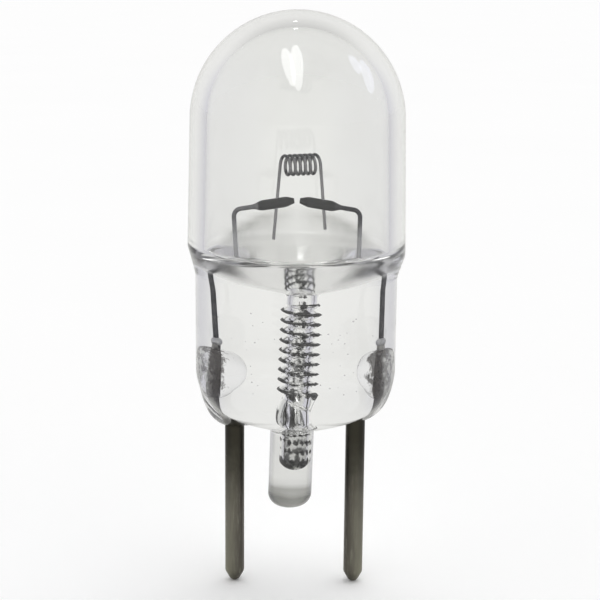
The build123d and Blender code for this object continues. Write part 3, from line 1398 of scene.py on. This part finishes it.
@dataclass
class SeedBubbles:
    """Tiny gas bubbles left in the pressed glass of the foot, in front of the wires."""

    count: int = 48
    near: float = 0.85
    far: float = 2.2
    low_z: float = 0.9
    high_z: float = 3.0
    first_angle: float = math.radians(205)
    last_angle: float = math.radians(335)
    radius: float = 0.02
    least_share: float = 0.35
    subdivisions: int = 3

    def build(self, material: bpy.types.Material) -> bpy.types.Object:
        """Scatter the bubbles with fixed seeds.

        Args:
            material: What the gas in them looks like.

        Returns:
            The piece.
        """
        tree = PathTree("seed_bubble_scatter")
        points = tree.add("GeometryNodeMeshToPoints", None, {"Mesh": tree.start()})
        near, far = tree.length("Nearest", self.near), tree.length("Farthest", self.far)
        reach = tree.chance(near, far, seed=1)
        low, high = tree.length("Lowest", self.low_z), tree.length("Highest", self.high_z)
        height = tree.chance(low, high, seed=2)
        angle = tree.chance(self.first_angle, self.last_angle, seed=3)
        spot = tree.xyz(reach * angle.cosine(), reach * angle.sine(), height)
        points = tree.add("GeometryNodeSetPosition", None, {"Geometry": points, "Position": spot})
        ball = tree.add(
            "GeometryNodeMeshIcoSphere",
            None,
            {"Radius": tree.length("Bubble radius", self.radius), "Subdivisions": self.subdivisions},
            out="Mesh",
        )
        size = tree.chance(self.least_share, 1.0, seed=4)
        bubbles = tree.add(
            "GeometryNodeInstanceOnPoints",
            None,
            {"Points": points, "Instance": ball, "Scale": tree.xyz(size, size, size)},
        )
        tree.finish(bubbles, material)
        line = [(0.0, 0.0, self.low_z + i * MM) for i in range(self.count)]
        return seat(tree.run("seed_bubbles", line), Slot.GLASS)


@dataclass
class LeadWire:
    """A wire from its weld on the pin up to a bend, flattened at the end into a clamp."""

    side: Side
    diameter: float = 0.12
    foot_x: Pair = (1.4306, 1.5724)
    foot_z: float = 2.05
    bend_x: float = 1.62
    bend_z: float = 5.4
    bend_radius: float = 0.2
    rise: float = math.tan(math.radians(9))
    clamp_tip_x: float = 0.07
    clamp_length: float = 1.1
    clamp_height: float = 0.27
    clamp_thickness: float = 0.17
    weld_diameter: float = 0.24
    weld_segments: int = 28
    weld_rings: int = 18
    bend_steps: int = 16
    clamp_tip_taper: Span = (-0.066, 0.26)
    clamp_root_taper: float = 0.3
    clamp_rise: Span = (-0.1, 0.02)
    clamp_heat: float = 1.1
    floor_z: float = 3.95
    floor_fade: float = 0.2
    sealed_heat: float = 0.72
    heat_reach: float = 1.3
    warmth: Pair = (0.58, 0.72)
    sides: int = 20
    stations: int = 260

    def build(self, material: bpy.types.Material) -> bpy.types.Object:
        """Make the wire.

        Args:
            material: The lead metal.

        Returns:
            The piece.
        """
        sign, word = self.side.value, self.side.word
        right = self.side is Side.RIGHT
        foot_x = sign * self.foot_x[right]
        tree = PathTree(f"lead_wire_path_{word}")
        curve = tree.add("GeometryNodeMeshToCurve", None, {"Mesh": tree.start()})
        bend = tree.length("Bend radius", self.bend_radius)
        curve = tree.add(
            "GeometryNodeFilletCurve",
            {"mode": "POLY"},
            {"Curve": curve, "Count": self.bend_steps, "Radius": bend},
        )
        curve = tree.add("GeometryNodeResampleCurve", None, {"Curve": curve, "Count": self.stations})
        centre = tree.add("GeometryNodeInputPosition")
        curve = tree.keep(curve, "centre", centre, "FLOAT_VECTOR")
        height = tree.part(centre, "Z")
        tip = tree.length("Clamp tip", self.clamp_tip_x)
        run = tree.length("Clamp run", self.clamp_length * math.cos(math.atan(self.rise)))
        span = ((tree.part(centre, "X").size() - tip) / run).most(0.0).least(1.0)
        bent = height.share(*((self.bend_z + rise) * MM for rise in self.clamp_rise))
        clamp = (1 - span).share(0.0, self.clamp_root_taper / self.clamp_length) * bent
        swell = span.share(*(taper / self.clamp_length for taper in self.clamp_tip_taper)) * clamp
        curve = tree.keep(curve, "swell", swell)
        sealed = height.share((self.floor_z + self.floor_fade) * MM, self.floor_z * MM)
        hot = height.share((self.bend_z - self.heat_reach) * MM, self.bend_z * MM) * self.warmth[right]
        tarnish = hot.most(clamp * self.clamp_heat).most(sealed * self.sealed_heat)
        curve = tree.keep(curve, TARNISH_AND_SHADE, tarnish)
        shape = tree.tube(curve, tree.length("Wire radius", self.diameter / 2), self.sides)
        shape = self.flatten(tree, shape)
        weld = tree.length("Weld radius", self.weld_diameter / 2)
        ball = tree.add(
            "GeometryNodeMeshUVSphere",
            None,
            {"Segments": self.weld_segments, "Rings": self.weld_rings, "Radius": weld},
            out="Mesh",
        )
        foot = (foot_x * MM, 0.0, self.foot_z * MM)
        ball = tree.add("GeometryNodeTransform", None, {"Geometry": ball, "Translation": foot})
        shape = tree.add("GeometryNodeJoinGeometry", None, {"Geometry": [shape, ball]})
        tree.finish(shape, material)
        tip_z = self.bend_z + self.rise * (self.bend_x - self.clamp_tip_x)
        points = [
            (foot_x, 0.0, self.foot_z - self.diameter),
            (sign * self.bend_x, 0.0, self.bend_z),
            (sign * self.clamp_tip_x, 0.0, tip_z),
        ]
        return seat(tree.run(f"lead_{word}", points), Slot.LEAD, f"lead_wire_{word}")

    def flatten(self, tree: PathTree, shape: Value) -> Value:
        """Press the round wire into the leaf shape of the clamp.

        Args:
            tree: The wire's tree.
            shape: The round wire.

        Returns:
            The pressed wire.
        """
        centre, swell = tree.kept("centre", "FLOAT_VECTOR"), tree.kept("swell")
        offset = tree.vector("SUBTRACT", tree.add("GeometryNodeInputPosition"), centre)
        deep = swell * (self.clamp_thickness / self.diameter - 1) + 1
        tall = swell * (self.clamp_height / self.diameter - 1) + 1
        pressed = tree.vector("MULTIPLY", offset, tree.xyz(1.0, deep, tall))
        return tree.add(
            "GeometryNodeSetPosition",
            None,
            {"Geometry": shape, "Position": tree.vector("ADD", centre, pressed)},
        )


@dataclass
class Filament:
    """The coiled wire that glows, with a straight leg down through each clamp."""

    wire_diameter: float = 0.082
    coil_diameter: float = 0.56
    coil_length: float = 0.9
    turns: float = 6.5
    coil_x: float = 0.078
    coil_z: float = 6.56
    clamp_z: float = 5.5853
    tail_left_z: float = 4.65
    tail_right_z: float = 4.91
    heat_left: Span = (-5.0, -1.0)
    heat_right: Span = (4.0, 0.0)
    # Painted shade on the coil: each turn darker at its top and bottom than where it faces front and back.
    front_of_turn_share: float = 0.35
    shaded_turn_edge: Span = (0.55, 0.9)
    sides: int = 14
    stations: int = 1500

    def build(self, material: bpy.types.Material) -> bpy.types.Object:
        """Make the filament as one wire along its rule: leg, coil, leg.

        Args:
            material: The filament metal.

        Returns:
            The piece.
        """
        radius = (self.coil_diameter - self.wire_diameter) / 2
        advance = self.coil_length / self.turns / (2 * math.pi)
        leg_spread = advance / radius * (self.coil_z - self.clamp_z)
        skew = math.atan2(radius, self.coil_length / 2 + leg_spread)
        axis = Vector((math.cos(skew), math.sin(skew), 0.0))
        across = Vector((-math.sin(skew), math.cos(skew), 0.0))
        start = Vector((self.coil_x, 0.0, self.coil_z)) - axis * self.coil_length / 2
        full = 2 * math.pi * self.turns
        first = (self.tail_left_z - self.coil_z) / radius
        last = full + (self.coil_z - self.tail_right_z) / radius

        tree = PathTree("filament_path")
        curve = tree.add("GeometryNodeMeshToCurve", None, {"Mesh": tree.start()})
        curve = tree.add("GeometryNodeResampleCurve", None, {"Curve": curve, "Count": self.stations})
        swing = tree.length("Coil radius", radius)
        climb = tree.length("Climb each radian", advance)
        share = tree.add("GeometryNodeSplineParameter", out="Factor")
        angle = share * (last - first) + first
        wound = angle.most(0.0).least(full)
        before, after = angle.least(0.0), (angle - full).most(0.0)
        side = tree.vector("SCALE", tuple(across), scale=swing * wound.cosine())
        along = tree.vector("SCALE", tuple(axis), scale=climb * angle)
        height = tree.xyz(0.0, 0.0, swing * (wound.sine() + before - after))
        spot = tree.vector("ADD", tuple(start * MM), side)
        spot = tree.vector("ADD", spot, along)
        spot = tree.vector("ADD", spot, height)
        curve = tree.add("GeometryNodeSetPosition", None, {"Geometry": curve, "Position": spot})
        tarnish = angle.share(*self.heat_left) * (angle - full).share(*self.heat_right)
        # Painted shade: darker at the top and bottom of each turn.
        shaded_turns = wound.sine().size().share(*self.shaded_turn_edge)
        tarnish = tarnish * (self.front_of_turn_share + (1 - self.front_of_turn_share) * shaded_turns)
        curve = tree.keep(curve, TARNISH_AND_SHADE, tarnish)
        shape = tree.tube(curve, tree.length("Wire radius", self.wire_diameter / 2), self.sides)
        tree.finish(shape, material)
        piece = tree.run("filament_coil", [(0.0, 0.0, 0.0), (1.0, 0.0, 0.0)])
        return seat(piece, Slot.FILAMENT, "filament")


@dataclass(frozen=True)
class Lamp:
    """A lamp that shows only as a glint in the glass, hung in a direction from the bulb.

    Its roll about that direction is in degrees, and a glow of 1 is white. Where inside is true, it also
    glints on the glass inside the dome.
    """

    name: str
    way: Triple
    size: Point
    roll: float
    glow: float
    colour: Colour = WHITE
    inside: bool = False


@dataclass
class Studio:
    """The pale floor, the even light, the lamps that glint in the glass, and the camera."""

    floor_z: float
    shows_glints: bpy.types.Collection
    floor_size: float = 8000.0
    ambient: float = 0.7
    backdrop: float = 0.855
    dark: float = 0.6
    backdrop_tone: Colour = (1.0, 1.0, 0.98)
    side_tone: Colour = (0.71, 0.705, 0.77)
    top_share: float = 0.3
    top_edge: Span = (0.3, 0.85)
    dark_way: Triple = (0.0, -0.97, 0.24)
    dark_edge: Span = (0.55, 0.95)
    sun_strength: float = 0.95
    sun_spread: float = math.radians(50)
    sun_turn: Triple = (math.radians(-14), math.radians(8), 0.0)
    soft_glints: tuple[Lamp, ...] = (
        Lamp("tall_glint_left", (-0.145, -0.47, 0.87), (7.8, 46.0), 24.0, 8.0),
        Lamp("tall_glint_right", (-0.018, -0.49, 0.87), (9.0, 55.0), 5.0, 8.0),
        Lamp("window_glint_left", (0.7, 0.05, 0.7), (8.0, 15.0), -40.0, 4.5, COOL),
        Lamp("window_glint_right", (0.83, 0.1, 0.53), (11.0, 26.0), -40.0, 4.0, COOL),
    )
    floor_glint: Lamp = Lamp("floor_glint", (-0.03, 0.571, 0.82), (2.6, 1.2), 0.0, 10.0, inside=True)
    glint_centre: Triple = (0.0, 0.0, 6.0)
    glint_reach: float = 60.0
    glint_rim: float = 2.5
    target: Triple = (0.1, 0.0, 3.04)
    elevation: float = math.radians(12.5)
    distance: float = 37.3
    lens: float = 86.7
    sensor: float = 36.0
    clip: Span = (0.001, 20.0)
    roll: float = math.radians(0.55)

    def build(self) -> None:
        """Set the stage."""
        self.build_floor()
        self.build_world()
        self.build_lamps()
        self.build_camera()
        bpy.context.scene.view_settings.view_transform = "Standard"

    def build_floor(self) -> None:
        """Lay the floor under the pin tips."""
        half, z = self.floor_size / 2 * MM, self.floor_z * MM
        corners = [(-half, -half, z), (half, -half, z), (half, half, z), (-half, half, z)]
        mesh = bpy.data.meshes.new("floor")
        mesh.from_pydata(corners, [], [(0, 1, 2, 3)])
        mesh.materials.append(FloorFinish().material())
        show("floor", mesh)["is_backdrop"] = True

    def build_world(self) -> None:
        """Light evenly from all round, white to the eye, and duller to glass and metal, most in front."""
        world = bpy.data.worlds.new("studio")
        world.use_nodes = True
        bpy.context.scene.world = world
        tree = Tree(world.node_tree)
        way = tree.add("ShaderNodeTexCoord", out="Generated")
        camera, mirrored = tree.kinds_of_ray()
        front = tree.vector("DOT_PRODUCT", way, self.dark_way, out="Value").share(*self.dark_edge)
        dull = self.backdrop - front * (self.backdrop - self.dark)
        dull = dull * (1.0 - self.top_share * tree.part(way, "Z").share(*self.top_edge))
        level = camera + mirrored * dull + (1.0 - camera - mirrored) * self.ambient
        beside = tree.part(way, "X").size().share(*BESIDE)
        tone = tree.blend(beside, self.backdrop_tone, self.side_tone)
        tone = tree.blend(mirrored, WHITE, tone)
        background = tree.add("ShaderNodeBackground", None, {"Color": tone, "Strength": level})
        tree.add("ShaderNodeOutputWorld", None, {"Surface": background})

    def hang_soft(self, lamp: Lamp) -> None:
        """Hang two lamps, one in front of the other, that make one soft-edged glint.

        Args:
            lamp: The bright core, with the glow of both.
        """
        for word, rim in (("core", 0.0), ("rim", self.glint_rim)):
            size = (lamp.size[0] + rim, lamp.size[1] + rim)
            self.hang(replace(lamp, name=f"{lamp.name}_{word}", size=size, glow=lamp.glow / 2))

    def hang(self, lamp: Lamp) -> None:
        """Hang a lamp.

        Args:
            lamp: What it is like.
        """
        light = bpy.data.lights.new(lamp.name, "AREA")
        light.shape = "ELLIPSE"
        light.size, light.size_y = lamp.size[0] * MM, lamp.size[1] * MM
        light.energy = lamp.glow * math.pi * lamp.size[0] * lamp.size[1] * MM * MM
        light.color = lamp.colour
        way = Vector(lamp.way)
        turn = way.to_track_quat("Z", "Y").to_euler()
        turn.rotate_axis("Z", math.radians(lamp.roll))
        hung = show(lamp.name, light)
        hung.location = (Vector(self.glint_centre) + way.normalized() * self.glint_reach) * MM
        hung.rotation_euler = turn
        hung.visible_camera = False
        hung.visible_diffuse = False
        hung.visible_transmission = lamp.inside
        hung.light_linking.receiver_collection = self.shows_glints

    def build_lamps(self) -> None:
        """Hang the sun for the soft shadow and the lamps for the glints."""
        light = bpy.data.lights.new("soft_sun", "SUN")
        light.energy = self.sun_strength
        light.angle = self.sun_spread
        sun = show("soft_sun", light)
        sun.rotation_euler = Euler(self.sun_turn)
        sun.visible_glossy = False
        sun.visible_transmission = False
        for lamp in self.soft_glints:
            self.hang_soft(lamp)
        self.hang(self.floor_glint)

    def build_camera(self) -> None:
        """Stand the camera in front of the bulb, a little above it."""
        camera = bpy.data.cameras.new("camera")
        camera.lens = self.lens
        camera.sensor_width = self.sensor
        camera.clip_start, camera.clip_end = self.clip
        eye = show("camera", camera)
        back = Vector((0.0, -math.cos(self.elevation), math.sin(self.elevation)))
        eye.location = (Vector(self.target) + back * self.distance) * MM
        turn = (-back).to_track_quat("-Z", "Y").to_euler()
        turn.rotate_axis("Z", self.roll)
        eye.rotation_euler = turn
        bpy.context.scene.camera = eye


def main() -> None:
    """Build the bulb's pieces in order, then the stage."""
    logging.basicConfig(level=logging.INFO, format="%(message)s")
    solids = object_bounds()
    glass = GlassBody().build(GlassFinish())
    glints = bpy.data.collections.new("shows_glints")
    glints.objects.link(glass)
    pin_metal = PinFinish().material()
    lead = WireFinish("lead_metal", bare=(0.52, 0.52, 0.52), heated_and_shaded=(0.03, 0.03, 0.03))
    lead_metal = lead.material()
    seal_glass = SealFinish().material()
    SeedBubbles().build(BubbleFinish().material())
    for side in Side:
        ContactPin(side).build(pin_metal)
        SealBead(side).build(seal_glass)
        LeadWire(side).build(lead_metal)
    filament = WireFinish("filament_wire", bare=(0.3, 0.295, 0.3), heated_and_shaded=(0.06, 0.06, 0.065))
    Filament().build(filament.material())
    Studio(floor_z=solids[0].z / MM, shows_glints=glints).build()


if __name__ == "__main__":
    main()
